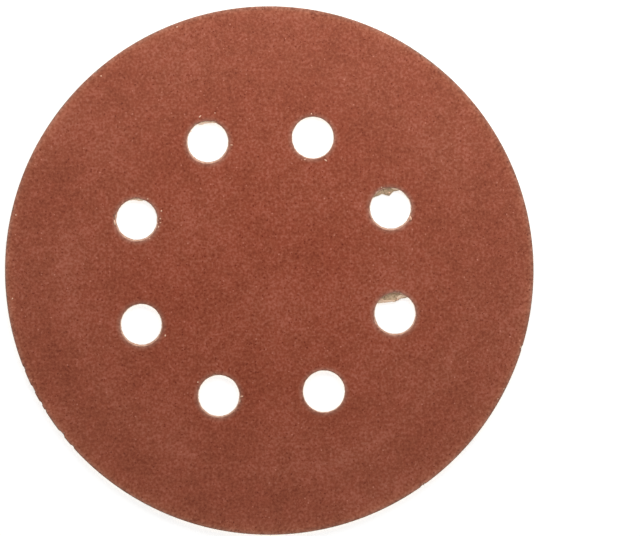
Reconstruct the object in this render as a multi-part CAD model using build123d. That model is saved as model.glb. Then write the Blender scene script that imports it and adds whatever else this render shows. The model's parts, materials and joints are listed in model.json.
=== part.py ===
# Hook and loop sanding disc, lying flat with its abrasive face up.
#
# The disc is a laminate of two round sheets with one outline and one pattern of dust
# holes: looped fabric at the bottom, and on it paper that is coated with grain and resin.
# The origin is the centre of the disc on the surface that it lies on, and +Z is up.

from build123d import *
from math import cos, radians, sin
import os

os.makedirs("parts", exist_ok=True)

# Outline of the disc, in millimetres
disc_diameter = 125.0

# Thickness of the fabric, of the bare paper, and of the grain and resin on the paper
fabric_thickness = 0.75
paper_thickness = 0.25
coat_thickness = 0.20

# Dust holes, which line up with the holes of a sander's pad
hole_count = 8
hole_diameter = 10.0
hole_circle_diameter = 65.0
first_hole_angle = 25.0

# The punch struck the hole pattern a little off the centre of the disc
pattern_offset_x = -0.81
pattern_offset_y = 0.83

# The pile of loops is cut through with the rest, and thins out towards its lower edge
fabric_edge_bevel = 0.25

# Bites where the brittle coat broke away at the cut edge, with the paper left bare.
# Each is its place round the rim in degrees, its width and its depth.
rim_chips = (
    (131.0, 1.0, 0.40),
    (166.5, 1.2, 0.35),
    (201.8, 1.3, 0.55),
    (206.7, 1.8, 0.50),
    (218.2, 2.0, 0.60),
    (221.9, 1.1, 0.45),
    (243.0, 0.9, 0.35),
    (305.6, 1.6, 0.70),
    (333.2, 1.0, 0.45),
    (343.0, 1.3, 0.65),
)

# The same at the holes: the number of the hole, counted from the first hole,
# the place round it in degrees, the width and the depth of the bite.
hole_chips = (
    (0, 332.0, 1.1, 0.55),
    (0, 118.0, 2.6, 0.60),
    (2, 128.0, 1.5, 0.50),
    (2, 72.0, 1.2, 0.45),
    (3, 170.0, 1.4, 0.60),
    (3, 95.0, 2.2, 0.45),
    (5, 345.0, 1.0, 0.45),
    (5, 100.0, 1.4, 0.40),
    (7, 84.0, 2.4, 0.55),
    (7, 200.0, 1.0, 0.40),
)

# Sizes that follow from the ones above
disc_radius = disc_diameter / 2
hole_radius = hole_diameter / 2
hole_circle_radius = hole_circle_diameter / 2
hole_step_angle = 360.0 / hole_count
paper_floor = fabric_thickness
coat_floor = paper_floor + paper_thickness


def hole_centre(index):
    """The centre of one dust hole, counted anticlockwise from the first hole."""
    angle = radians(first_hole_angle + index * hole_step_angle)
    x = pattern_offset_x + hole_circle_radius * cos(angle)
    y = pattern_offset_y + hole_circle_radius * sin(angle)
    return Vector(x, y)


def sheet(floor, thickness):
    """A round sheet with its holes, as the die cuts it, standing on the given height."""
    holes = [Pos(hole_centre(i)) * Circle(hole_radius) for i in range(hole_count)]
    outline = Circle(disc_radius) - holes
    return Pos(0, 0, floor) * extrude(outline, thickness)


def bite(centre, edge_radius, angle, width, depth):
    """The flat shape of one chip: an ellipse across the cut edge of the rim or of a hole."""
    on_the_edge = Pos(centre) * Rot(0, 0, angle) * Pos(edge_radius, 0)
    return on_the_edge * Ellipse(depth, width / 2)


def chips():
    """Every bite in the coat, from the paper up to clear of the grain."""
    bites = [
        bite(Vector(0, 0), disc_radius, angle, width, depth)
        for angle, width, depth in rim_chips
    ]
    bites += [
        bite(hole_centre(hole), hole_radius, angle, width, depth)
        for hole, angle, width, depth in hole_chips
        if hole < hole_count
    ]
    return Pos(0, 0, coat_floor) * extrude(Sketch() + bites, 2 * coat_thickness)


def abrasive_paper():
    """Paper with its coat of grain, flush with the fabric at the rim and in the holes."""
    return sheet(paper_floor, paper_thickness + coat_thickness) - chips()


def loop_fabric():
    """Looped knit, bevelled along its lower edges at the rim and in the holes."""
    plain = sheet(0, fabric_thickness)
    lower_edges = plain.edges().filter_by(GeomType.CIRCLE).group_by(Axis.Z)[0]
    return chamfer(lower_edges, min(fabric_edge_bevel, 0.9 * fabric_thickness))


export_step(abrasive_paper(), "parts/abrasive_paper.step")
export_step(loop_fabric(), "parts/loop_fabric.step")
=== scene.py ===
# %% [markdown]
# # A sanding disc for a hook-faced pad
#
# The real disc is a laminate of three thin layers. On top lies grit in a red-brown resin.
# Under it lies the paper that carries the grit. At the bottom lies a looped knit, which
# grips the small hooks of a sander's pad. One die cuts all three in one stroke, so they
# share one round outline and one ring of dust holes.
#
# A solid model already holds the true sizes. This lesson adds what the eye sees: the grain,
# the torn paper in the holes, the ribs and loops of the knit, the fibres and the print.

# %% The tools and the fixed frame
import json
import random
from math import atan2, ceil, cos, degrees, pi, radians, sin, sqrt, tau

import bmesh
import bpy
import numpy as np
from mathutils import Matrix, Vector, noise


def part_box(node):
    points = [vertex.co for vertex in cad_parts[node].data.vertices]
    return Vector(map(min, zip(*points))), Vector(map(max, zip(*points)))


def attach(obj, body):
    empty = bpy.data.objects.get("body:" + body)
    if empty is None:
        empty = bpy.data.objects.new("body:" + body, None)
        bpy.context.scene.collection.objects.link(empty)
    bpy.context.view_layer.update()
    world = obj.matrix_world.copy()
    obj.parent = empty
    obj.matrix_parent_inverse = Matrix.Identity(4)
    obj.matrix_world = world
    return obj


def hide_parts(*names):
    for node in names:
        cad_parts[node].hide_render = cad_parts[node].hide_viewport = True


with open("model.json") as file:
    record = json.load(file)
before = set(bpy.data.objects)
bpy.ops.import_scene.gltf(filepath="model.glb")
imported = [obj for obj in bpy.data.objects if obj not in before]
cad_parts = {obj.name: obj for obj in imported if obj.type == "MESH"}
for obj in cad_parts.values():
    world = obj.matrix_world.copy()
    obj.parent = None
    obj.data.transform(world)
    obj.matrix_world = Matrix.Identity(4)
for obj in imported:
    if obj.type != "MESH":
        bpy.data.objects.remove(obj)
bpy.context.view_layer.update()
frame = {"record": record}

MM = 0.001

# %% [markdown]
# ## Sizes
#
# The disc is drawn in millimetres, because its finest parts are a few hundredths of one,
# and some mesh tools take points that close in metres for a single point. Each piece is
# scaled to metres when it is finished.
#
# The outline, the thickness of each layer and the places of the holes are read from the
# solid model. They could be typed in again, but then the two models would drift apart as
# soon as one of them changed.

# %% Sizes read from the solid model, in millimetres
paper_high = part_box("abrasive_paper")[1]
fabric_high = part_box("loop_fabric")[1]
record = frame["record"]
hole_pattern = next(m for m in record["mounts"] if m["name"] == "dust_holes")

disc_radius = round(paper_high.x / MM, 4)
face_height = round(paper_high.z / MM, 4)
fabric_top = round(fabric_high.z / MM, 4)
hole_radius = hole_pattern["dims"]["hole_r_mm"]

hole_centres = []
for opening in record["physics"]["openings"]:
    low_corner, high_corner = (Vector(corner[:2]) for corner in opening["box_m"])
    hole_centres.append((low_corner + high_corner) / 2 / MM)

print("radius", disc_radius, "thickness", face_height, "holes", len(hole_centres))

# %% [markdown]
# ## Where the die cut
#
# Nearly everything that makes this disc look used or real happens close to a cut: the coat
# chips there, the paper tears and the knit frays. One function therefore answers the
# question that all the later steps ask: how far is this point from the nearest cut? It
# works on whole arrays, because it is asked about a hundred thousand points at a time.

# %% The distance from the nearest cut
RIM = -1


def cut_distance(x, y):
    """How far points lie from the nearest cut, above zero where the sheet is whole."""
    gaps = [disc_radius - np.hypot(x, y)]
    gaps += [np.hypot(x - c.x, y - c.y) - hole_radius for c in hole_centres]
    return np.minimum.reduce(gaps)


def nearest_cut(flat):
    """The cut that a point of the sheet lies nearest to: its number, centre and radius."""
    hole = min(range(len(hole_centres)), key=lambda i: (flat - hole_centres[i]).length)
    to_hole = (flat - hole_centres[hole]).length - hole_radius
    if to_hole < disc_radius - flat.length:
        return hole, hole_centres[hole], hole_radius
    return RIM, Vector((0, 0)), disc_radius


print("from the centre to the nearest hole:", round(float(cut_distance(0.0, 0.0)), 2))

# %% [markdown]
# ## The camera
#
# The disc was photographed from straight above. Small flaws are placed by the pixel at
# which they show, so the camera has to frame the disc as the photograph does. The scale
# comes from the outline: 125 mm of disc fill 529 pixels. A long lens from 0.6 m keeps the
# view into the outer holes nearly straight down, as it is there.

# %% The camera and the way from pixels to places
photo_size = (640, 536)
pixels_per_mm = 4.231
disc_centre_pixel = (269.25, 270.5)
camera_distance = 600.0
sensor_width = 36.0


def from_photo(x, y):
    """The place on the disc's face that shows at a pixel of the photograph."""
    across = (x - disc_centre_pixel[0]) / pixels_per_mm
    up = (disc_centre_pixel[1] - y) / pixels_per_mm
    return Vector((across, up))


aim = from_photo(photo_size[0] / 2, photo_size[1] / 2)
view_width = photo_size[0] / pixels_per_mm

camera_data = bpy.data.cameras.new("camera")
camera_data.sensor_width = sensor_width
camera_data.lens = sensor_width * camera_distance / view_width
camera = bpy.data.objects.new("camera", camera_data)
camera.location = Vector((aim.x, aim.y, face_height + camera_distance)) * MM
bpy.context.scene.collection.objects.link(camera)
bpy.context.scene.camera = camera
print("lens", round(camera_data.lens, 1), "view width", round(view_width, 1))

# %% [markdown]
# ## A shorthand for shader nodes
#
# A material is a small network of nodes. Typed out in full, each node takes four or five
# lines, and the idea gets lost among them. These helpers make a node, set it and wire it
# in one line, so a material below reads from its coordinates down to its colour.

# %% Helpers for materials
def add(tree, kind, wires=None, **settings):
    """A new shader node. A wire is a socket to link to, or a value to set."""
    made = tree.nodes.new("ShaderNode" + kind)
    for setting, value in settings.items():
        setattr(made, setting, value)
    for place, value in (wires or {}).items():
        if isinstance(value, bpy.types.NodeSocket):
            tree.links.new(value, made.inputs[place])
        else:
            made.inputs[place].default_value = value
    return made


def calc(tree, operation, *terms):
    """One sum on numbers, as a socket."""
    return add(tree, "Math", dict(enumerate(terms)), operation=operation).outputs[0]


def mix_colours(tree, share, first, second):
    """Two colours mixed, with that share of the second."""
    made = add(tree, "Mix", {0: share, 6: first, 7: second}, data_type="RGBA")
    return made.outputs[2]


def fade(tree, value, start, end, at_start=0.0, at_end=1.0):
    """A value turned into a smooth step between two of its levels."""
    wires = {"Value": value, "From Min": start, "From Max": end,
             "To Min": at_start, "To Max": at_end}
    return add(tree, "MapRange", wires, interpolation_type="SMOOTHSTEP").outputs[0]


def ramp(tree, value, *stops):
    """A colour ramp through stops of a position and a linear colour."""
    made = add(tree, "ValToRGB", {"Fac": value})
    elements = made.color_ramp.elements
    while len(elements) < len(stops):
        elements.new(0.5)
    for element, (position, colour) in zip(elements, stops):
        element.position = position
        element.color = (*colour, 1.0)
    return made.outputs[0]


def spots(tree, place, per_mm, detail=0.0, stretch=(1, 1, 1)):
    """Soft noise with that many spots to a millimetre, near 0.5 on average."""
    scaled = add(tree, "Mapping", {"Vector": place, "Scale": [per_mm / MM * s for s in stretch]})
    wires = {"Vector": scaled.outputs[0], "Scale": 1.0, "Detail": detail}
    return add(tree, "TexNoise", wires).outputs[0]


def cells(tree, place, per_mm, shift=(0, 0, 0)):
    """Cracked-earth cells: the distance from each cell's middle, and its random number."""
    wires = {"Vector": place, "Scale": [per_mm / MM] * 3, "Location": shift}
    scaled = add(tree, "Mapping", wires)
    made = add(tree, "TexVoronoi", {"Vector": scaled.outputs[0], "Scale": 1.0})
    chance = add(tree, "SeparateColor", {0: made.outputs["Color"]}).outputs[0]
    return made.outputs["Distance"], chance


def distance_out(tree, place):
    """How far a point lies from the disc's axis, in metres."""
    return add(tree, "VectorMath", {0: place}, operation="LENGTH").outputs["Value"]


def add_marks(tree, tone, *marks):
    """A tone that each noise raises or lowers, as far as the noise differs from a half."""
    for value, strength in marks:
        tone = calc(tree, "MULTIPLY_ADD", calc(tree, "SUBTRACT", value, 0.5), strength, tone)
    return tone


def looked_at(tree):
    """One for rays that only look: from the camera, or by way of gloss or glass."""
    rays = add(tree, "LightPath").outputs
    bounced = calc(tree, "MAXIMUM", rays["Is Glossy Ray"], rays["Is Transmission Ray"])
    return calc(tree, "MAXIMUM", rays["Is Camera Ray"], bounced)


def dress(tree, shader, colour, texture, roughness, gloss, relief=None):
    """Gives a shader its colour, a roughness that follows a noise, its gloss and its relief."""
    tree.links.new(colour, shader.inputs["Base Color"])
    if relief:
        height, strength, depth = relief
        wires = {"Strength": strength, "Distance": depth * MM, "Height": height}
        tree.links.new(add(tree, "Bump", wires).outputs[0], shader.inputs["Normal"])
    tree.links.new(fade(tree, texture, 0.3, 0.7, *roughness), shader.inputs["Roughness"])
    shader.inputs["Specular IOR Level"].default_value = gloss


def new_material(name):
    """A material with a plain shader: the material, its tree, shader and coordinates."""
    material = bpy.data.materials.new(name)
    material.use_nodes = True
    tree = material.node_tree
    shader = tree.nodes["Principled BSDF"]
    return material, tree, shader, add(tree, "TexCoord").outputs["Object"]


print("node helpers ready")

# %% [markdown]
# ## Light
#
# The photograph was taken in soft light on a white table. The disc is brighter towards the
# top of the picture, by about 1.5 times, and most of that rise comes in the top third. So a
# long lamp hangs low just beyond that edge. It could be moved far away and the colour graded
# instead, but then the shading would be painted on and would turn with the disc.
#
# An even white world supplies the rest. What the camera sees directly is plain white, while
# what lights the disc is weaker, so that a colour renders about as it is written. A second
# lamp below the floor shows the looped side when someone looks at it from underneath.

# %% Lamps and world
world_level = 0.53
lamp_length = 320.0
lamp_width = 110.0
table_lamp_place = (24, 125, 88)
table_lamp_level = 0.47
lamp_below_place = (0, -200, -500)
lamp_below_level = 0.62


def hang_lamp(name, place, level):
    """A long soft lamp aimed at the disc, which alone would light white to that level."""
    place = Vector(place) * MM
    lamp_data = bpy.data.lights.new(name, "AREA")
    lamp_data.shape = "RECTANGLE"
    lamp_data.size, lamp_data.size_y = lamp_length * MM, lamp_width * MM
    slant = abs(place.z) / place.length
    lamp_data.energy = level * pi ** 2 * place.length_squared / slant
    lamp = bpy.data.objects.new(name, lamp_data)
    lamp.location = place
    lamp.rotation_euler = (-place).to_track_quat("-Z", "Y").to_euler()
    lamp.visible_camera = False
    bpy.context.scene.collection.objects.link(lamp)
    print(name, "energy", round(lamp_data.energy, 2), "watts")


hang_lamp("table_lamp", table_lamp_place, table_lamp_level)
hang_lamp("lamp_below", lamp_below_place, lamp_below_level)

world = bpy.data.worlds.new("white_room")
world.use_nodes = True
bpy.context.scene.world = world
sky = world.node_tree
sky_level = calc(sky, "MULTIPLY_ADD", looked_at(sky), 1.0 - world_level, world_level)
background = sky.nodes["Background"]
background.inputs["Color"].default_value = (1, 1, 1, 1)
sky.links.new(sky_level, background.inputs["Strength"])

bpy.context.scene.view_settings.view_transform = "Standard"

# %% [markdown]
# ## The floor
#
# The floor only has to look white and to catch the disc's soft shadow. It is a matt white
# surface, which darkens where the disc shades it, and it glows by itself just enough to
# reach white. Near the disc the lamp lights it as well, so it glows a little less there,
# or the shadow would drown. It is there only for rays that look at it from above. Light
# passes it freely, so the looped side can be lit and seen from below.

# %% The floor
floor_half_width = 3000.0
floor_gap = 0.02
floor_white = (0.90, 0.90, 0.90, 1)
glow_near = 0.47
glow_far = 0.53
near_reach = 66.0
far_reach = 160.0

floor_mesh = bmesh.new()
bmesh.ops.create_grid(floor_mesh, x_segments=1, y_segments=1, size=floor_half_width * MM)
floor_data = bpy.data.meshes.new("floor")
floor_mesh.to_mesh(floor_data)
floor_mesh.free()
floor = bpy.data.objects.new("floor", floor_data)
floor.location.z = -floor_gap * MM
bpy.context.scene.collection.objects.link(floor)

floor_material = bpy.data.materials.new("white_table")
floor_material.use_nodes = True
table = floor_material.node_tree
table.nodes.remove(table.nodes["Principled BSDF"])
matt = add(table, "BsdfDiffuse", {"Color": floor_white})
from_disc = distance_out(table, add(table, "TexCoord").outputs["Object"])
glow_level = fade(table, from_disc, near_reach * MM, far_reach * MM, glow_near, glow_far)
glow = add(table, "Emission", {"Color": (1, 1, 1, 1), "Strength": glow_level})
shown = add(table, "AddShader", {0: matt.outputs[0], 1: glow.outputs[0]})
from_above = calc(table, "SUBTRACT", 1.0, add(table, "NewGeometry").outputs["Backfacing"])
solid_share = calc(table, "MULTIPLY", looked_at(table), from_above)
clear = add(table, "BsdfTransparent")
covered = add(table, "MixShader", {0: solid_share, 1: clear.outputs[0], 2: shown.outputs[0]})
table.links.new(covered.outputs[0], table.nodes["Material Output"].inputs["Surface"])
floor_data.materials.append(floor_material)
print("floor", 2 * floor_half_width, "wide")

# %% [markdown]
# ## The finish of the abrasive face
#
# Grit of this grade is about an eighth of a millimetre across. The eye doesn't see single
# grains from a step away. It sees a mottle of clumps about two thirds of a millimetre wide,
# with small dark pits where grains are missing, a few pale specks where one shows through
# the resin, and very faint clouds where the resin lies thicker.
#
# A picture of real sandpaper could be stretched over the disc. Noise is better here: it has
# no seam and no repeat, and it stays sharp from close up. Each kind of mark gets its own
# noise, and all of them are added to one tone that runs through a ramp from pit to speck.
# The hue drifts as well: where the resin is brighter it is also a little redder.
#
# A faint light ring near the rim, with a darker band outside it, is painted shading of a
# slight warp in the disc. The rim is rubbed paler, and all the cut edges are dusty and
# greyer, so the colour leans to a dust colour there. Both follow the same tone, since the
# grit stands out of the dust. The mesh carries the distance from the cut for that, in an
# attribute.

# %% Colours and marks of the abrasive face
pit_colour = (0.145, 0.015, 0.004)
shade_colour = (0.205, 0.023, 0.0035)
resin_colour = (0.325, 0.065, 0.026)
speck_colour = (0.670, 0.250, 0.172)
red_tint = (1.01, 0.96, 0.955)
grey_tint = (0.99, 1.04, 1.045)
worn_dark = (0.25, 0.058, 0.024)
worn_light = (0.68, 0.248, 0.130)
haze_colour = (0.36, 0.25, 0.17, 1)
dust_dark = (0.30, 0.175, 0.125)
dust_light = (0.48, 0.295, 0.225)

# The spots or cells of each noise to a millimetre, and how strongly it moves the tone.
mottle_per_mm, mottle_strength = 1.55, 0.38
fine_per_mm, fine_strength = 3.2, 0.12
grain_per_mm, grain_strength = 2.8, 0.04
grit_per_mm, grit_strength = 7.5, 0.05
drift_per_mm, drift_strength = 0.45, 0.205
cloud_per_mm, cloud_strength = 0.05, 0.24
pits_per_mm, pit_drop = 1.9, -0.25
specks_per_mm, speck_rise = 1.3, 0.36
middle_tone = 0.50
hue_per_mm, broad_hue_per_mm = 0.45, 0.10

# A cell holds a pit or a speck if its random number is past these levels, out to this edge.
pit_chances, pit_edge, pit_raggedness = (0.90, 0.93), (0.74, 0.46), 0.6
speck_chances, speck_edge = (0.95, 0.965), (0.30, 0.12)

# Painted shading of a slight warp, as a light ring and a darker band: the radius and width
# of each in millimetres, and its change of tone.
warp_light_ring = (47.6, 2.6, 0.030)
warp_shade_band = (54.0, 4.6, -0.026)
# They come and go in patches, and are faint above one height and clearest below another.
mark_patches_per_mm, mark_patches = 0.06, (0.35, 0.6, 0.35, 1.0)
mark_heights, mark_shares = (45.0, -30.0), (0.4, 1.35)

# Fades towards a cut: the distances between which they run and their shares at those.
worn_at_cuts = (1.8, 0.2, 0.0, 0.14)
dust_near_cuts = (1.3, 0.0, 0.0, 0.30)
dust_at_cuts = (0.35, 0.0, 0.0, 0.30)
dust_patches_per_mm = 0.9
grain_in_dust = 5.5
rim_wear_start, rim_wear_end, rim_wear_share = 3.6, 0.3, 0.24
haze_start, haze_share = 15.0, 0.05

# How far the cells sink in the relief, its strength and its depth in millimetres.
grain_relief, grit_relief, pit_relief = -0.6, -1.6, -1.2
grit_bump = (0.35, 0.06)
grit_roughness, grit_gloss = (0.72, 0.52), 0.30
print("the light ring is", warp_light_ring[1] * 2, "wide, the dark band", warp_shade_band[1] * 2)


# %% Painted shading of a slight warp
def warp_shading(tree, place):
    """Painted shading of a slight warp: a light ring with a darker band outside it, as a tone."""
    out = distance_out(tree, place)
    marks = 0.0
    for radius, width, strength in (warp_light_ring, warp_shade_band):
        off = calc(tree, "ABSOLUTE", calc(tree, "SUBTRACT", out, radius * MM))
        marks = calc(tree, "ADD", marks, fade(tree, off, width * MM, 0.0, 0.0, strength))
    patches = spots(tree, place, mark_patches_per_mm, detail=1.0)
    marks = calc(tree, "MULTIPLY", marks, fade(tree, patches, *mark_patches))
    up = add(tree, "SeparateXYZ", {0: place}).outputs[1]
    by_height = fade(tree, up, *(height * MM for height in mark_heights), *mark_shares)
    return calc(tree, "MULTIPLY", marks, by_height)


print("marks at the radii", warp_light_ring[0], "and", warp_shade_band[0])


# %% Wear and dust along the cuts
def dusty_at_cuts(tree, place, tone, colour):
    """A colour with the haze, the worn rim and the dust that lie over it near the cuts."""
    gap = add(tree, "Attribute", attribute_name="cut_gap").outputs["Fac"]
    out = distance_out(tree, place)
    haze = fade(tree, out, haze_start * MM, disc_radius * MM, 0.0, haze_share)
    colour = mix_colours(tree, haze, colour, haze_colour)

    rim_wear = fade(tree, out, (disc_radius - rim_wear_start) * MM,
                    (disc_radius - rim_wear_end) * MM, 0.0, rim_wear_share)
    worn = calc(tree, "ADD", fade(tree, gap, *worn_at_cuts), rim_wear)
    rubbed = ramp(tree, tone, (0.35, worn_dark), (0.65, worn_light))
    colour = mix_colours(tree, worn, colour, rubbed)

    patchy = fade(tree, spots(tree, place, dust_patches_per_mm, detail=2.0), 0.25, 0.75)
    grainy = add_marks(tree, patchy, (tone, grain_in_dust))
    dusty = ramp(tree, grainy, (0.0, dust_dark), (1.0, dust_light))
    dust = calc(tree, "ADD", fade(tree, gap, *dust_near_cuts), fade(tree, gap, *dust_at_cuts))
    return mix_colours(tree, dust, colour, dusty)


print("dust reaches", dust_near_cuts[0], "millimetres from a cut")


# %% Material of the abrasive face
def abrasive_material():
    """Red-brown grit in resin, dusty along the cuts."""
    material, tree, shader, place = new_material("abrasive_grain")
    mottle = spots(tree, place, mottle_per_mm, detail=0.3)
    fine = spots(tree, place, fine_per_mm)
    drift = spots(tree, place, drift_per_mm, detail=2.0)
    cloud = spots(tree, place, cloud_per_mm, detail=3.0)
    grain_gap, grain_chance = cells(tree, place, grain_per_mm)
    grit_gap, grit_chance = cells(tree, place, grit_per_mm, (5, 3, 1))
    pit_gap, pit_chance = cells(tree, place, pits_per_mm, (4, 9, 2))
    speck_gap, speck_chance = cells(tree, place, specks_per_mm, (31, 17, 8))

    tone = add_marks(tree, middle_tone, (mottle, mottle_strength), (fine, fine_strength),
                     (grain_chance, grain_strength), (grit_chance, grit_strength),
                     (drift, drift_strength), (cloud, cloud_strength))
    ragged_gap = calc(tree, "MULTIPLY_ADD", fine, pit_raggedness, pit_gap)
    is_pit = calc(tree, "MULTIPLY", fade(tree, pit_chance, *pit_chances),
                  fade(tree, ragged_gap, *pit_edge))
    is_speck = calc(tree, "MULTIPLY", fade(tree, speck_chance, *speck_chances),
                    fade(tree, speck_gap, *speck_edge))
    tone = calc(tree, "MULTIPLY_ADD", is_pit, pit_drop, tone)
    tone = calc(tree, "MULTIPLY_ADD", is_speck, speck_rise, tone)
    # Painted shading of a slight warp lightens and darkens the tone in two bands.
    tone = calc(tree, "ADD", tone, warp_shading(tree, place))
    colour = ramp(tree, tone, (0.0, pit_colour), (0.3, shade_colour), (0.5, resin_colour),
                  (1.0, speck_colour))

    hue = calc(tree, "ADD", spots(tree, place, hue_per_mm),
               spots(tree, place, broad_hue_per_mm, detail=1.0))
    tint = ramp(tree, calc(tree, "MULTIPLY", hue, 0.5), (0.35, grey_tint), (0.65, red_tint))
    tinted = add(tree, "Mix", {0: 1.0, 6: colour, 7: tint}, data_type="RGBA",
                 blend_type="MULTIPLY")
    colour = dusty_at_cuts(tree, place, tone, tinted.outputs[2])

    height = calc(tree, "ADD", mottle, fine)
    for dip, relief in ((grain_gap, grain_relief), (grit_gap, grit_relief),
                        (is_pit, pit_relief)):
        height = calc(tree, "MULTIPLY_ADD", dip, relief, height)
    dress(tree, shader, colour, fine, grit_roughness, grit_gloss, (height, *grit_bump))
    return material


abrasive_finish = abrasive_material()
print("abrasive finish has", len(abrasive_finish.node_tree.nodes), "nodes")

# %% [markdown]
# ## The finish of the bare paper
#
# Where the coat breaks away, the paper shows. It is pale, a little pink from the resin that
# has soaked in, and fibrous. The noise is stretched along one way to look like fibres. At
# the rim the paper turns dark grey, which is painted shade on the edge that peeks out under
# the coat. The torn lips and strips are painted paler than the paper, as painted light
# where they lie in the shade at the top of their holes. The paper's crumbs carry some
# resin, so they are pinker.

# %% Material of the bare paper
paper_shade = (0.56, 0.27, 0.18)
paper_light = (0.88, 0.57, 0.42)
# Painted shade: the grey that the paper turns at the rim, where its edge peeks out under the
# coat.
rim_shade = (0.27, 0.20, 0.16, 1)
# Painted light: the torn lips and strips are paler than the paper, which brightens them where
# they lie in the shade at the top of their holes.
torn_shade = (0.82, 0.53, 0.37)
torn_light = (0.98, 0.76, 0.56)
crumb_shade = (0.90, 0.48, 0.32)
crumb_light = (1.00, 0.67, 0.48)
paper_fibres_per_mm = 5.0
stain_per_mm, stain_strength = 1.1, 0.9
rim_shade_start, rim_shade_end, rim_shade_share = 0.6, 0.1, 0.75
paper_bump, paper_roughness, paper_gloss = (0.4, 0.05), (0.95, 0.80), 0.25


def paper_material(name, shade, light):
    """Pale fibrous paper with a stain of resin, and painted grey shade at the rim."""
    material, tree, shader, place = new_material(name)
    fibres = spots(tree, place, paper_fibres_per_mm, detail=2.0, stretch=(1.0, 0.4, 1.0))
    stain = spots(tree, place, stain_per_mm, detail=1.0)
    tone = add_marks(tree, fibres, (stain, stain_strength))
    colour = ramp(tree, tone, (0.2, shade), (0.75, light))
    # Painted shade: within the last 0.6 mm of the rim the paper darkens to grey.
    dust = fade(tree, distance_out(tree, place), (disc_radius - rim_shade_start) * MM,
                (disc_radius - rim_shade_end) * MM, 0.0, rim_shade_share)
    colour = mix_colours(tree, dust, colour, rim_shade)
    dress(tree, shader, colour, fibres, paper_roughness, paper_gloss, (fibres, *paper_bump))
    return material


paper_finish = paper_material("backing_paper", paper_shade, paper_light)
# The torn lips and strips get paler colours as painted light.
torn_paper_painted_light_finish = paper_material("torn_paper_painted_light", torn_shade, torn_light)
crumb_finish = paper_material("paper_crumbs", crumb_shade, crumb_light)
print("paper finish has", len(paper_finish.node_tree.nodes), "nodes")

# %% [markdown]
# ## The finish of the looped knit
#
# The knit is cream nylon or cotton in fine upright ribs, about 0.55 mm apart, each a chain
# of stitches. A maker prints the back of such a disc in grey ink, which only takes on the
# high fibres and so breaks up into dots. Here the print is a plain row of three outlined
# triangles, repeated over the cloth on the slant, with the size, stroke and colour of such
# a print. A triangle's outline is worked out from distances to its sides, so it needs no
# picture, and the loops that stand on the knit can wear the very same print.

# %% Colours of the knit
rib_pitch = 0.55
stitch_pitch = 0.62
knit_shade = (0.70, 0.53, 0.34)
knit_light = (0.94, 0.80, 0.60)
thread_light = (0.97, 0.88, 0.72)
# Painted shade: the torn flaps hang in the shade at the top of their holes, and these darker
# colours paint that shade into the knit.
shaded_flap_dark = (0.24, 0.145, 0.078)
shaded_flap_pale = (0.84, 0.61, 0.40)
ink_colour = (0.19, 0.155, 0.145)
knit_fibres_per_mm, knit_fibre_strength = 4.5, 0.9
tufts_per_mm, tuft_strength = 1.2, 0.35
knit_clouds_per_mm, knit_cloud_strength = 0.12, 0.25
rib_strength, stitch_strength, stitch_relief = 0.07, 0.03, 0.15
knit_bump, knit_roughness, knit_gloss, knit_sheen = (0.5, 0.08), (1.0, 0.85), 0.20, 0.15
print("ribs", rib_pitch, "apart, stitches", stitch_pitch, "long")

# %% The print
mark_spacing = 9.0
marks_in_row = 3
row_spacing = 34.0
column_spacing = 40.0
mark_inner_radius = 2.2
mark_stroke = 1.4
stroke_softness = 0.15
side_slant = radians(30)
print_slant = radians(-9)
row_shift = 0.45
ink_least, ink_in_dots = 0.10, 0.74
dot_edge, ink_off_ribs = (0.60, 0.44), (-0.9, 0.3, 0.35, 1.0)


def printed_marks(tree, place):
    """One where ink lies, else zero: rows of outlined triangles on the slant."""
    turned = add(tree, "Mapping", {"Vector": place, "Scale": [1 / MM] * 3,
                                   "Rotation": (0, 0, print_slant)})
    parts = add(tree, "SeparateXYZ", {0: turned.outputs[0]})
    row = calc(tree, "FLOOR", calc(tree, "DIVIDE", parts.outputs[1], row_spacing))
    staggered = calc(tree, "MULTIPLY_ADD", row, column_spacing * row_shift, parts.outputs[0])
    along = calc(tree, "FLOORED_MODULO", staggered, column_spacing)
    in_row = calc(tree, "LESS_THAN", along, mark_spacing * marks_in_row)
    x = calc(tree, "SUBTRACT", calc(tree, "FLOORED_MODULO", along, mark_spacing),
             mark_spacing / 2)
    y = calc(tree, "SUBTRACT", calc(tree, "FLOORED_MODULO", parts.outputs[1], row_spacing),
             row_spacing / 2)
    slant_side = calc(tree, "MULTIPLY_ADD", calc(tree, "ABSOLUTE", x), cos(side_slant),
                      calc(tree, "MULTIPLY", y, sin(side_slant)))
    base_side = calc(tree, "MULTIPLY", y, -1.0)
    outside = calc(tree, "SUBTRACT", calc(tree, "MAXIMUM", slant_side, base_side),
                   mark_inner_radius)
    stroke = fade(tree, calc(tree, "ABSOLUTE", outside), mark_stroke / 2 + stroke_softness,
                  mark_stroke / 2 - stroke_softness)
    return calc(tree, "MULTIPLY", stroke, in_row)


print("rows of", marks_in_row, "triangles,", row_spacing, "apart")


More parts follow.
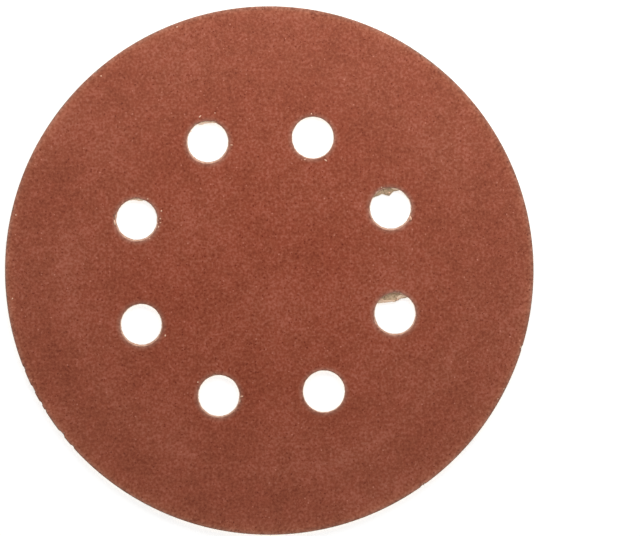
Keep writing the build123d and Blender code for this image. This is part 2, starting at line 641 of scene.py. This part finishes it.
# %% Material of the looped knit
def knit_material(name, shade, light, in_order=True, with_bump=True):
    """Cream knit. Thin threads take it smooth, and torn parts without ribs and print."""
    material, tree, shader, place = new_material(name)
    parts = add(tree, "SeparateXYZ", {0: place})
    rib = calc(tree, "COSINE", calc(tree, "MULTIPLY", parts.outputs[0], tau / rib_pitch / MM))
    stitch = calc(tree, "SINE", calc(tree, "MULTIPLY", parts.outputs[1], tau / stitch_pitch / MM))
    fibre = spots(tree, place, knit_fibres_per_mm, detail=2.0, stretch=(1.0, 0.45, 1.0))
    tuft = spots(tree, place, tufts_per_mm, detail=1.0, stretch=(1.0, 0.6, 1.0))
    cloud = spots(tree, place, knit_clouds_per_mm, detail=2.0)
    tone = add_marks(tree, calc(tree, "MULTIPLY", fibre, knit_fibre_strength),
                     (tuft, tuft_strength), (cloud, knit_cloud_strength))
    height = fibre
    if in_order:
        tone = calc(tree, "MULTIPLY_ADD", rib, rib_strength, tone)
        tone = calc(tree, "MULTIPLY_ADD", stitch, stitch_strength, tone)
        woven = calc(tree, "MULTIPLY", stitch, rib)
        height = calc(tree, "MULTIPLY_ADD", woven, stitch_relief, fibre)
    colour = ramp(tree, tone, (0.15, shade), (0.70, light))
    if in_order:
        # The ink breaks up into dots, and takes best on the backs of the ribs.
        dots = calc(tree, "MULTIPLY", fade(tree, fibre, *dot_edge),
                    fade(tree, rib, *ink_off_ribs))
        cover = calc(tree, "MULTIPLY_ADD", dots, ink_in_dots, ink_least)
        ink = calc(tree, "MULTIPLY", printed_marks(tree, place), cover)
        colour = mix_colours(tree, ink, colour, (*ink_colour, 1))
    relief = (height, *knit_bump) if with_bump else None
    dress(tree, shader, colour, fibre, knit_roughness, knit_gloss, relief)
    shader.inputs["Sheen Weight"].default_value = knit_sheen
    return material


knit_finish = knit_material("looped_knit", knit_shade, knit_light)
thread_finish = knit_material("knit_threads", knit_light, thread_light, with_bump=False)
# The torn flaps take darker colours than the knit, as painted shade.
shaded_flap_finish = knit_material("shaded_flap_knit", shaded_flap_dark, shaded_flap_pale, in_order=False)
print("knit finish has", len(knit_finish.node_tree.nodes), "nodes")

# %% [markdown]
# ## From a bmesh to a finished piece
#
# Each layer is shaped in a bmesh and then becomes an object of its own at the origin, with
# its place in its mesh. It rides on the disc's one body and carries its finish as its
# material.

# %% Finishing a piece
BODY = "root"


def finish_piece(name, shape, material, smooth=True):
    """An object from a bmesh or a mesh in millimetres, riding on the disc."""
    mesh = shape
    if isinstance(shape, bmesh.types.BMesh):
        unpaired = sum(not edge.is_manifold for edge in shape.edges)
        mesh = bpy.data.meshes.new(name)
        shape.to_mesh(mesh)
        shape.free()
        print(name, "has", unpaired, "edges without a face on both sides")
    mesh.transform(Matrix.Scale(MM, 4))
    mesh.materials.append(material)
    if smooth:
        mesh.shade_smooth()
    piece = bpy.data.objects.new(name, mesh)
    bpy.context.scene.collection.objects.link(piece)
    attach(piece, BODY)
    mesh.calc_loop_triangles()
    heights = [vert.co.z / MM for vert in mesh.vertices]
    print(name, "has", len(mesh.loop_triangles), "triangles, from height",
          round(min(heights), 3), "to", round(max(heights), 3))
    return piece


# %% [markdown]
# ## A sheet cut by the die
#
# The coat and the knit are both wide sheets with a fine surface, so both need many small
# faces of even size. A filled outline would give long slivers from hole to rim, which can't
# carry any relief. So a fine grid is laid out, trimmed to the outline, made finer along
# the cuts, and its stepped border is pulled on to the true circles.
#
# A cut is never perfectly clean. The border wanders by a few hundredths of a millimetre,
# and where the brittle coat broke away it steps back in a shallow bite.

# %% Bites that the die and the handling left
# Each is the cut it lies on, its place round it in degrees, its width, its depth in the
# coat and the depth to which it goes through all the layers.
bites = (
    (RIM, 131.0, 1.0, 0.40, 0.0),
    (RIM, 166.5, 1.2, 0.35, 0.0),
    (RIM, 201.8, 1.3, 0.55, 0.22),
    (RIM, 206.7, 1.8, 0.50, 0.30),
    (RIM, 210.2, 1.2, 0.42, 0.28),
    (RIM, 212.0, 0.8, 0.30, 0.20),
    (RIM, 218.2, 2.0, 0.60, 0.32),
    (RIM, 221.9, 1.1, 0.45, 0.24),
    (RIM, 243.0, 0.9, 0.35, 0.0),
    (RIM, 305.6, 1.6, 0.70, 0.15),
    (RIM, 333.2, 1.0, 0.45, 0.0),
    (RIM, 343.0, 1.3, 0.65, 0.15),
    (0, 332.0, 1.1, 0.55, 0.0),
    (0, 118.0, 2.6, 0.60, 0.0),
    (2, 128.0, 1.5, 0.50, 0.0),
    (2, 72.0, 1.2, 0.45, 0.0),
    (3, 170.0, 1.4, 0.60, 0.0),
    (3, 95.0, 2.2, 0.45, 0.0),
    (5, 345.0, 1.0, 0.45, 0.0),
    (5, 100.0, 1.4, 0.40, 0.0),
    (7, 84.0, 2.4, 0.55, 0.0),
    (7, 200.0, 1.0, 0.40, 0.0),
)
print(len(bites), "bites, of which", sum(bite[-1] > 0 for bite in bites), "go through all layers")

# %% How far each layer stands back from a cut
coat_wander = 0.10
coat_retreat = 0.42
cloth_wander = 0.05
drift_length = 1.4
tooth_length = 0.35
drift_share = 0.6
retreat_length = 16
retreat_start = 0.05


def bite_depths(cut, angle, radius):
    """How far the bites go at an angle round a cut: in the coat, and right through."""
    in_coat = through = 0.0
    for where, middle, width, depth, all_layers in bites:
        turn = (angle - middle + 180) % 360 - 180
        along = abs(radians(turn)) * radius / (width / 2)
        if where == cut and along < 1:
            bulge = sqrt(1 - along ** 2)
            in_coat, through = max(in_coat, depth * bulge), max(through, all_layers * bulge)
    return in_coat, through


def wander(point, amount):
    """How far a cut strays at a point: a slow drift and finer teeth."""
    slow = noise.noise(Vector((point.x, point.y, 0)) / drift_length)
    teeth = noise.noise(Vector((point.x, point.y, 3)) / tooth_length)
    return amount * (drift_share * slow + teeth)


def coat_edge(cut, on_cut, angle, radius):
    """How far the brittle coat stands back from a cut. It also retreats in long stretches."""
    back = abs(wander(on_cut, coat_wander)) + bite_depths(cut, angle, radius)[0]
    if cut == RIM:
        stretch = noise.noise(Vector((*on_cut, 7)) / retreat_length)
        back += coat_retreat * max(0.0, stretch - retreat_start)
    return back


def cloth_edge(cut, on_cut, angle, radius):
    """How far the knit stands back from a cut."""
    return abs(wander(on_cut, cloth_wander)) + bite_depths(cut, angle, radius)[1]


def paper_edge(cut, on_cut, angle, radius):
    """How far the paper stands back from a cut, which is only at the deepest bites."""
    return bite_depths(cut, angle, radius)[1]


print("the deepest bite goes", max(bite[3] for bite in bites), "into the coat")

# %% Trimming, refining and pulling the border
merge_gap = 0.04


def gaps_of(faces):
    """The distance of each face's middle from the nearest cut."""
    middles = np.array([face.calc_center_median() for face in faces])
    return cut_distance(middles[:, 0], middles[:, 1])


def drop_outside(sheet, limit):
    """Deletes the faces that lie further outside the cuts than the limit."""
    faces = list(sheet.faces)
    outside = [face for face, gap in zip(faces, gaps_of(faces)) if gap < -limit]
    bmesh.ops.delete(sheet, geom=outside, context="FACES")


def cut_sheet(step_x, step_y, edge):
    """A grid of small faces in the outline of the disc with its holes, at height zero."""
    sheet = bmesh.new()
    columns, rows = ceil(2 * disc_radius / step_x), ceil(2 * disc_radius / step_y)
    bmesh.ops.create_grid(sheet, x_segments=columns, y_segments=rows, size=disc_radius)
    coarse = max(step_x, step_y)
    drop_outside(sheet, coarse)
    faces = list(sheet.faces)
    near = [face for face, gap in zip(faces, gaps_of(faces)) if gap < coarse]
    # A dict drops the doubles in a fixed order, which a set of edges would shuffle.
    border = list(dict.fromkeys(edge for face in near for edge in face.edges))
    bmesh.ops.subdivide_edges(sheet, edges=border, cuts=1, use_grid_fill=True)
    drop_outside(sheet, 0.0)
    for vert in sheet.verts:
        if vert.is_boundary:
            pull_to_cut(vert, edge)
    border = [vert for vert in sheet.verts if vert.is_boundary]
    bmesh.ops.remove_doubles(sheet, verts=border, dist=merge_gap)
    return sheet


def pull_to_cut(vert, edge):
    """Moves a border point straight out or in to the cut that it belongs to."""
    cut, centre, radius = nearest_cut(vert.co.xy)
    spoke = (vert.co.xy - centre).normalized()
    back = edge(cut, centre + spoke * radius, degrees(atan2(spoke.y, spoke.x)) % 360, radius)
    inwards = -1 if cut == RIM else 1
    vert.co.xy = centre + spoke * (radius + inwards * back)


def close_sheet(sheet, far_height):
    """Walls from the open border to another height, and a flat face that closes them."""
    open_edges = [edge for edge in sheet.edges if edge.is_boundary]
    grown = bmesh.ops.extrude_edge_only(sheet, edges=open_edges)["geom"]
    far_verts = {item for item in grown if isinstance(item, bmesh.types.BMVert)}
    for vert in far_verts:
        vert.co.z = far_height
    far_edges = [edge for edge in sheet.edges
                 if edge.verts[0] in far_verts and edge.verts[1] in far_verts]
    bmesh.ops.triangle_fill(sheet, edges=far_edges, use_beauty=True)
    bmesh.ops.recalc_face_normals(sheet, faces=sheet.faces)


print("border points closer than", merge_gap, "become one")

# %% [markdown]
# ## The coat of grit
#
# The coat is a closed sheet 0.2 mm thick. Its upper points are lifted and sunk at random by
# a few hundredths of a millimetre, so that the grit is in the mesh as well as in the
# finish, and it is worn a little lower along the cuts. Each point stores its distance from
# the cut in an attribute, in millimetres, for the dusty edge in the finish.

# %% The coat
coat_thickness = 0.20
grain_step = 0.40
grit_height = 0.055
edge_wear = 0.05
edge_wear_reach = 0.30

coat_draw = random.Random(11)
coat = cut_sheet(grain_step, grain_step, coat_edge)
cut_gap = coat.verts.layers.float.new("cut_gap")
for vert in coat.verts:
    gap = float(cut_distance(vert.co.x, vert.co.y))
    vert[cut_gap] = 0.0 if vert.is_boundary else max(gap, 0.0)
    worn = edge_wear * max(0.0, 1 - gap / edge_wear_reach)
    vert.co.z = face_height - worn - grit_height * coat_draw.random()
close_sheet(coat, face_height - coat_thickness)
grain_coat = finish_piece("grain_coat", coat, abrasive_finish)
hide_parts("abrasive_paper")

# %% [markdown]
# ## The paper
#
# The paper lies under the coat, and shows in the bites and as a pale lip inside each hole:
# the punch drags it downwards, so the lower part of the wall leans into the hole by about a
# third of a millimetre, with a ragged edge. The paper is flat, so this sheet needs no grid.
# Two rows of points round each cut and two filled faces are enough.

# %% The paper layer
rim_points = 900
hole_points = 150
lip_least = 0.04
lip_extra = (0.32, 0.13, 0.32, 0.32, 0.34, 0.28, 0.12, 0.30)
lip_ragged = 0.07
ring_turn = 0.37
level_slack = 0.01


def paper_outline(sheet, height):
    """The edges of the rim and of all the holes, at a height."""
    bmesh.ops.create_circle(sheet, segments=rim_points, radius=disc_radius)
    for number, centre in enumerate(hole_centres):
        # Each ring starts at an angle of its own, since the fill needs its points uneven.
        turn = Matrix.Rotation(ring_turn * number, 4, "Z")
        place = Matrix.Translation((*centre, 0)) @ turn
        bmesh.ops.create_circle(sheet, segments=hole_points, radius=hole_radius, matrix=place)
    bmesh.ops.translate(sheet, verts=sheet.verts, vec=(0, 0, height))
    return list(sheet.edges)


paper = bmesh.new()
outline = paper_outline(paper, face_height - coat_thickness)
for vert in paper.verts:
    pull_to_cut(vert, paper_edge)
bmesh.ops.triangle_fill(paper, edges=outline, use_beauty=True)
close_sheet(paper, fabric_top)
for vert in paper.verts:
    cut, centre, radius = nearest_cut(vert.co.xy)
    if cut != RIM and vert.co.z < fabric_top + level_slack:
        spoke = (vert.co.xy - centre).normalized()
        reach = lip_least + lip_extra[cut] * (0.5 - 0.5 * spoke.y)
        reach += wander(centre + spoke * radius, lip_ragged)
        vert.co.xy = centre + spoke * (radius - max(0.0, reach))
paper_layer = finish_piece("paper_layer", paper, paper_finish)
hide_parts("abrasive_paper")

# %% [markdown]
# ## The knit
#
# The ribs run across the disc in one direction, as they do on cloth from a roll. The grid
# has four columns of points to each rib, which are lifted and sunk into a row of rounded
# ridges. The lower edge is bevelled where the loops thin out at the cut. The knit is a
# sheet of cloth, and it is cut to the disc's own outline.

# %% The knit base
rib_floor = 0.16
rib_depth = 0.10
knit_row = 1.3
knit_bevel = 0.25

knit = cut_sheet(rib_pitch / 4, knit_row, cloth_edge)
for vert in knit.verts:
    gap = max(float(cut_distance(vert.co.x, vert.co.y)), 0.0)
    ridge = 0.5 - 0.5 * cos(tau * vert.co.x / rib_pitch)
    vert.co.z = rib_floor + rib_depth * ridge + max(0.0, knit_bevel - gap)
close_sheet(knit, fabric_top)
knit_base = finish_piece("knit_base", knit, knit_finish)
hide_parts("loop_fabric")

# %% [markdown]
# ## Many small copies of one shape
#
# Loops, fibres and flakes come in hundreds or thousands. Each would be slow to model by
# itself, and an object for each would choke the scene. So one small pattern is shaped with
# operators, and its points are repeated in one mesh, each copy put in place by a function.

# %% Laying out copies
def copies(name, pattern, placings):
    """One mesh of the pattern's points, moved by each placing in turn."""
    points = np.array([vert.co for vert in pattern.verts])
    corners = [[vert.index for vert in face.verts] for face in pattern.faces]
    pattern.free()
    laid, faces = [], []
    for number, placing in enumerate(placings):
        laid.append(placing(points))
        start = number * len(points)
        faces += [[start + corner for corner in face] for face in corners]
    mesh = bpy.data.meshes.new(name)
    mesh.from_pydata(np.concatenate(laid).tolist(), [], faces)
    return mesh


def turned(turn, place):
    """A placing that turns the pattern by a matrix and carries it to a place."""
    rows, place = np.array(turn), np.array(place)
    return lambda points: points @ rows.T + place


quarter_turn = turned(Matrix.Rotation(pi / 2, 3, "Z"), (0, 0, 0))
print("a quarter turn takes (1, 0, 0) to", quarter_turn(np.array((1.0, 0.0, 0.0))).round(3))

# %% [markdown]
# ## The pile of loops
#
# The loops are what the hooks catch. Each is half a ring of fibre that stands out of a rib.
# A three-sided ring of points, spun half a turn, makes one with few faces, which matters
# when there are twenty thousand of them. They stand along the ribs, but lean and turn at
# random, since the cloth is brushed, and none reaches below the surface under the disc.

# %% The loop pile
loop_width = 0.56
loop_fibre = 0.042
loop_spacing = 1.28
loop_gaps = (0.4, 1.1)
loop_jitter = 0.08
loop_lean = 0.4
loop_turn = 0.5
loop_heights = (0.40, 0.58)
loop_steps = 3
loop_root_height = 0.215
loop_inset = 0.30
pile_parts = 3


def one_loop():
    """Half a ring of fibre that hangs down from height zero."""
    pattern = bmesh.new()
    bmesh.ops.create_circle(pattern, segments=3, radius=loop_fibre)
    bmesh.ops.translate(pattern, verts=pattern.verts, vec=(loop_width / 2, 0, 0))
    bmesh.ops.spin(pattern, geom=pattern.verts[:] + pattern.edges[:], cent=(0, 0, 0),
                   axis=(0, 1, 0), angle=pi, steps=loop_steps, use_merge=False)
    open_edges = [edge for edge in pattern.edges if edge.is_boundary]
    bmesh.ops.holes_fill(pattern, edges=open_edges, sides=3)
    bmesh.ops.recalc_face_normals(pattern, faces=pattern.faces)
    pattern.verts.index_update()
    return pattern


def loop_placings(draw, low_x, high_x):
    """Where each loop between two lines across the disc stands and how it leans."""
    first, last = ceil(low_x / rib_pitch), ceil(high_x / rib_pitch)
    for rib in range(first, last):
        y = -disc_radius + draw.random() * loop_spacing
        while y < disc_radius:
            x = rib * rib_pitch + draw.gauss(0, loop_jitter)
            if cut_distance(x, y) > loop_inset:
                lean = Matrix.Rotation(draw.gauss(0, loop_lean), 3, "X")
                turn = Matrix.Rotation(draw.gauss(pi / 2, loop_turn), 3, "Z")
                size = Matrix.Diagonal((1, 1, draw.uniform(*loop_heights)))
                yield turned(turn @ lean @ size, (x, y, loop_root_height))
            y += loop_spacing * draw.uniform(*loop_gaps)


loop_draw = random.Random(23)
for number in range(pile_parts):
    low_x, high_x = (disc_radius * (2 * step / pile_parts - 1) for step in (number, number + 1))
    name = f"loop_pile_{number + 1}"
    mesh = copies(name, one_loop(), loop_placings(loop_draw, low_x, high_x))
    finish_piece(name, mesh, thread_finish, smooth=False)

# %% [markdown]
# ## Fibres at the cuts
#
# The die leaves short ends of fibre that stick out of the knit, into the holes and at the
# rim. A fibre is a thin three-sided tube, cut into a few lengths so that it can bend. It
# starts inside the knit, points out over the cut and droops or curls.

# %% Cut fibres
fibre_radius = 0.022
fibres_per_mm_of_hole = 3.2
fibres_per_mm_of_rim = 1.6
fibre_lengths = (0.15, 0.50)
fibre_heights = (0.2, 0.72)
fibre_root_depth = 0.08
fibre_splay = 0.6
fibre_tilts = (-0.15, 0.15)
fibre_curl = 0.35
fibre_droop = 0.2


def one_fibre():
    """A tube one long and two across, which stands on height zero and narrows upwards."""
    pattern = bmesh.new()
    bmesh.ops.create_cone(pattern, cap_ends=True, segments=3, radius1=1.0, radius2=0.5, depth=1.0)
    long_edges = [edge for edge in pattern.edges
                  if abs(edge.verts[0].co.z - edge.verts[1].co.z) > 0.5]
    bmesh.ops.subdivide_edges(pattern, edges=long_edges, cuts=3)
    bmesh.ops.translate(pattern, verts=pattern.verts, vec=(0, 0, 0.5))
    pattern.verts.index_update()
    return pattern


def bent(root, heading, curl, length, radius):
    """A placing that bends the tube from its root along its heading, curling as it goes."""
    root, heading, curl = (np.array(v) for v in (root, heading, curl))
    side = np.cross(heading, (0.0, 0.0, 1.0))
    side = side / np.linalg.norm(side)
    over = np.cross(heading, side)

    def placing(points):
        along = points[:, 2:3]
        line = root + length * (along * heading + along ** 2 * curl)
        return line + radius * (points[:, 0:1] * side + points[:, 1:2] * over)
    return placing


def fibre_placings(draw):
    """Fibres round every hole and round the rim."""
    cuts = [(centre, hole_radius, -1, fibres_per_mm_of_hole) for centre in hole_centres]
    cuts.append((Vector((0, 0)), disc_radius, 1, fibres_per_mm_of_rim))
    for centre, radius, outwards, density in cuts:
        for _ in range(round(tau * radius * density)):
            angle = draw.uniform(0, tau)
            spoke = Vector((cos(angle), sin(angle), 0))
            tangent = Vector((-spoke.y, spoke.x, 0))
            root = Vector((*centre, 0)) + spoke * (radius - outwards * fibre_root_depth)
            root.z = draw.uniform(*fibre_heights)
            heading = outwards * spoke + tangent * draw.gauss(0, fibre_splay)
            heading.z = draw.uniform(*fibre_tilts)
            heading.normalize()
            length = draw.uniform(*fibre_lengths)
            curl = tangent * draw.gauss(0, fibre_curl)
            curl.z -= fibre_droop * draw.random()
            yield bent(root, heading, curl, length, fibre_radius)


mesh = copies("cut_fibres", one_fibre(), fibre_placings(random.Random(37)))
cut_fibres = finish_piece("cut_fibres", mesh, thread_finish, smooth=False)

# %% [markdown]
# ## Torn flaps
#
# The punch didn't cut cleanly everywhere. At two holes a wide flap of knit still hangs in
# from the top. Small lips of torn paper stand over one of them and at two other holes, and
# two strips of paper lie along the edge of the other flap. Their free edges are placed by
# the pixels at which they show. Each torn part is a small grid that is stretched between
# its root and its free edge, so that it can sag and ripple, and then gets a thickness.

# %% Flaps left by the punch
# Each flap of knit has the hole that it hangs in, how far its edge sags in millimetres and
# the pixels along its free edge, from left to right. A lip or strip of paper has its hole
# and those pixels, and its root is the wall of the hole, or the pixels that follow.
knit_flaps = (
    (0, 0.28, ((371.5, 197.8), (375, 197), (379, 195.6), (382, 194), (386, 195), (389, 196),
               (390.3, 194.6), (393, 192), (396.5, 190.6), (400, 190), (403, 192), (405, 194.6),
               (409.5, 200.0))),
    (7, 0.10, ((376.8, 303.2), (380, 302.9), (383.4, 302.5), (388, 302.1), (391.8, 301.4),
               (395.2, 301.8), (398.3, 300.4), (400.6, 298.9), (403.3, 298.3), (405.6, 297.9),
               (408.6, 297.2))),
)
paper_lips = (
    (0, ((390.5, 187.8), (393, 189.4), (396, 190.2), (399, 190.2), (400.5, 188.8))),
    (0, ((374.8, 195.2), (377.3, 192.6), (380.3, 190.0), (384.0, 187.9))),
    (2, ((198.4, 124.9), (201.5, 124.8), (204.5, 123.6), (208, 123.3), (212, 122.9),
         (215, 123.3))),
    (3, ((128.6, 200.2), (131, 200.3), (135, 200.0), (138, 200.8), (141, 201.1),
         (143.4, 200.2))),
    (7, ((376.6, 303.5), (380, 303.2), (383.4, 302.8), (388, 302.4), (391.8, 301.7),
         (395.2, 302.1)),
        ((378.6, 298.6), (381.5, 298.2), (384.2, 300.2), (388, 300.3), (391.8, 299.8),
         (395.2, 300.2))),
    (7, ((398.0, 300.2), (401, 298.4), (404, 297.4), (408, 296.8)),
        ((396.6, 297.6), (400, 295.0), (404, 293.6), (407.4, 294.6))),
)
flap_root_height = 0.66
lip_root_height = 0.99
strip_height = 0.72
flap_thickness = 0.22
lip_thickness = 0.12
lip_sag = 0.10
wall_steps = 16
flap_root_depth = 0.12
flap_columns = 44
flap_rows = 6
torn_raggedness = 0.045
ripple_height = 0.05
ripple_length = 0.6
print(len(knit_flaps), "flaps of knit,", len(paper_lips), "lips and strips of paper")


# %% Growing a torn part between two lines
def along_line(points, share):
    """The point at a share of the way along a row of points."""
    place = share * (len(points) - 1)
    first = min(int(place), len(points) - 2)
    return points[first].lerp(points[first + 1], place - first)


def wall_line(hole, first, last):
    """Points just inside the wall of a hole, above two points of a free edge."""
    centre = hole_centres[hole]
    start, end = (atan2(*(point - centre).yx) for point in (first, last))
    angles = (start + (end - start) * step / wall_steps for step in range(wall_steps + 1))
    reach = hole_radius + flap_root_depth
    return [centre + reach * Vector((cos(angle), sin(angle))) for angle in angles]


def torn_part(parts, hole, edge_pixels, root_pixels, height, sag, thickness, draw):
    """One torn part between its root and its free edge, added to the bmesh of parts."""
    free = [from_photo(*pixel) for pixel in edge_pixels]
    root = [from_photo(*pixel) for pixel in root_pixels] or wall_line(hole, free[0], free[-1])
    inwards = (hole_centres[hole] - free[len(free) // 2]).normalized()
    ragged = [draw.gauss(0, torn_raggedness) for _ in range(flap_columns + 1)]
    grown = bmesh.ops.create_grid(parts, x_segments=flap_columns, y_segments=flap_rows, size=0.5)
    for vert in grown["verts"]:
        share, out = 0.5 + vert.co.x, 0.5 - vert.co.y
        tip = along_line(free, share) + ragged[round(share * flap_columns)] * inwards
        vert.co.xy = along_line(root, share).lerp(tip, out)
        ripple = noise.noise(Vector((*vert.co.xy, 0)) / ripple_length)
        vert.co.z = height - sag * out ** 2 + ripple_height * ripple
    faces = list(dict.fromkeys(face for vert in grown["verts"] for face in vert.link_faces))
    parts.normal_update()
    bmesh.ops.solidify(parts, geom=faces, thickness=thickness)


print("each torn part is a grid of", flap_columns, "by", flap_rows, "faces")

# %% The torn flaps and lips
flap_draw = random.Random(41)
flaps = bmesh.new()
for hole, sag, pixels in knit_flaps:
    torn_part(flaps, hole, pixels, (), flap_root_height, sag, flap_thickness, flap_draw)
torn_flaps = finish_piece("torn_flaps", flaps, shaded_flap_finish)

lips = bmesh.new()
for hole, pixels, *root in paper_lips:
    height = strip_height if root else lip_root_height
    torn_part(lips, hole, pixels, *(root or [()]), height, lip_sag, lip_thickness, flap_draw)
finish_piece("torn_lips", lips, torn_paper_painted_light_finish)

# %% [markdown]
# ## Flakes
#
# A few crumbs of paper and resin cling to the face beside the holes and the rim, and two
# lie on the torn flaps. Each is a small rough ball pressed flat, at the pixel where it
# shows, and sits on what is below it.

# %% Flakes on the face
# Each is its pixel, its length and width in millimetres and its slant in degrees.
flakes = (
    (410.6, 218.3, 1.00, 0.62, 100),
    (381.5, 187.3, 0.30, 0.24, 0),
    (200.0, 116.5, 0.75, 0.28, 45),
    (215.0, 113.0, 0.28, 0.22, 0),
    (191.0, 131.5, 0.28, 0.22, 0),
    (231.5, 145.0, 0.70, 0.26, 0),
    (114.7, 222.5, 1.35, 0.45, 100),
    (161.5, 211.0, 0.42, 0.34, 80),
    (160.2, 218.8, 0.36, 0.30, 0),
    (160.3, 222.7, 0.34, 0.28, 0),
    (157.4, 223.6, 0.34, 0.28, 0),
    (149.4, 238.5, 0.36, 0.28, 20),
    (147.8, 199.0, 0.34, 0.26, 60),
    (158.5, 227.0, 0.50, 0.24, 80),
    (241.8, 396.5, 0.70, 0.36, 15),
    (165.3, 335.6, 0.50, 0.36, 70),
    (197.8, 382.2, 0.40, 0.32, 0),
    (311.4, 113.8, 0.42, 0.26, 80),
    (304.9, 159.5, 0.40, 0.30, 0),
    (325.8, 160.3, 0.80, 0.30, -30),
    (521.0, 347.0, 0.62, 0.34, 40),
    (504.0, 389.0, 0.42, 0.30, 30),
    (498.0, 399.0, 0.34, 0.24, 30),
    (423.0, 484.5, 0.60, 0.30, -20),
    (177.0, 27.0, 0.45, 0.34, 10),
    (101.0, 76.0, 0.40, 0.32, 0),
    (16.0, 215.0, 0.36, 0.30, 80),
    (12.3, 298.7, 0.42, 0.32, 60),
)
# Two crumbs lie lower, on the torn flaps of knit.
flap_crumbs = (
    (389.4, 192.6, 0.42, 0.34, 0),
    (397.4, 299.6, 0.34, 0.60, 0),
)
flap_crumb_height = 0.60
flake_height = 0.062
flake_sink = 0.01
flake_roughness = (0.90, 1.25)
print(len(flakes), "crumbs on the face,", len(flap_crumbs), "on the flaps")


# %% Shaping and laying the flakes
def one_flake():
    """A rough ball about one across, with twenty faces."""
    pattern = bmesh.new()
    bmesh.ops.create_icosphere(pattern, subdivisions=1, radius=0.5)
    draw = random.Random(5)
    for vert in pattern.verts:
        vert.co *= draw.uniform(*flake_roughness)
    pattern.verts.index_update()
    return pattern


def flake_placings():
    """Each flake pressed flat, turned and set on the face or on a flap."""
    for crumbs, height in ((flakes, face_height - flake_sink), (flap_crumbs, flap_crumb_height)):
        for x, y, length, width, slant in crumbs:
            size = Matrix.Diagonal((length, width, 2 * flake_height))
            turn = Matrix.Rotation(radians(slant), 3, "Z")
            yield turned(turn @ size, (*from_photo(x, y), height))


mesh = copies("loose_flakes", one_flake(), flake_placings())
finish_piece("loose_flakes", mesh, crumb_finish)
